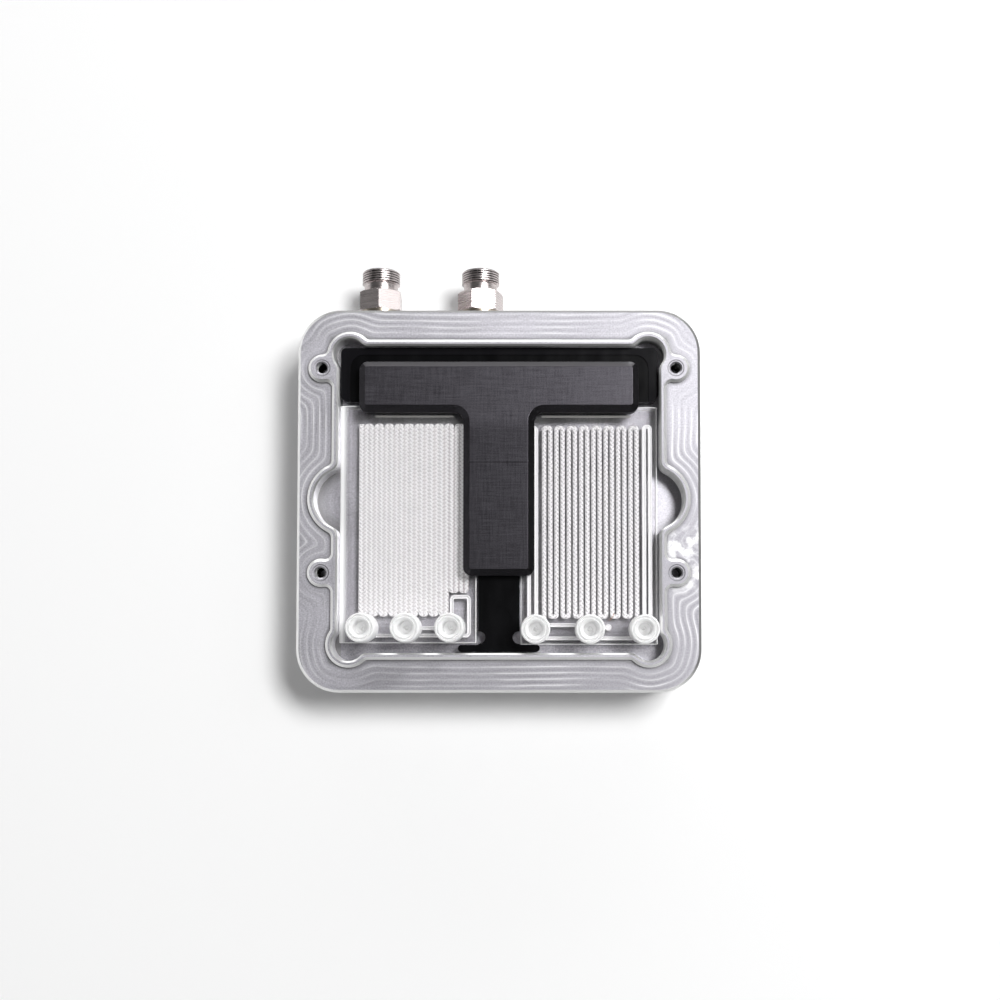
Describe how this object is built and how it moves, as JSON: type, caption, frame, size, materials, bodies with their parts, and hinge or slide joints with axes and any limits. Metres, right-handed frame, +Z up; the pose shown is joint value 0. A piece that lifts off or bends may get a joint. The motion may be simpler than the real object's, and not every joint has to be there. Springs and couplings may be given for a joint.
{
  "type": "microfluidic chip module",
  "caption": "Square thermostat block holding glass flow chips under a T-shaped clamp, with raised tube ports on the chips and coolant fittings at the back edge.",
  "frame": {"origin": "centre of the block's footprint, on its underside", "axes": "+X right, +Y towards the coolant fittings, +Z up out of the chips"},
  "size_m": [0.1684, 0.1797, 0.04],
  "materials": {
    "block_aluminium": "milled and bead-blasted, satin",
    "seal_rubber": "matte",
    "steel": "satin",
    "stainless": "turned, bright",
    "bronze_seal": "dull",
    "chip_glass": "clear glass with white etched channels",
    "port_glass": "frosted",
    "locator_black": "semi-gloss",
    "clamp_black": "black anodised, satin"
  },
  "bodies": {
    "root": {"base_block": "block_aluminium", "closure_plate": "block_aluminium", "coolant_gasket": "seal_rubber", "plate_screw_1": "steel", "plate_screw_2": "steel", "plate_screw_3": "steel", "plate_screw_4": "steel", "plate_screw_5": "steel", "plate_screw_6": "steel", "plate_screw_7": "steel", "plate_screw_8": "steel", "plate_screw_9": "steel", "plate_screw_10": "steel", "clamp_screw_left": "steel", "clamp_screw_right": "steel", "clamp_screw_stem": "steel", "coolant_fitting_left": "stainless", "coolant_fitting_right": "stainless", "fitting_seal_left": "bronze_seal", "fitting_seal_right": "bronze_seal", "chip_left": "chip_glass", "chip_right": "chip_glass", "port_left_1": "port_glass", "port_left_2": "port_glass", "port_left_3": "port_glass", "port_right_1": "port_glass", "port_right_2": "port_glass", "port_right_3": "port_glass", "chip_locator": "locator_black", "clamp_bar": "clamp_black"}
  },
  "joints": []
}
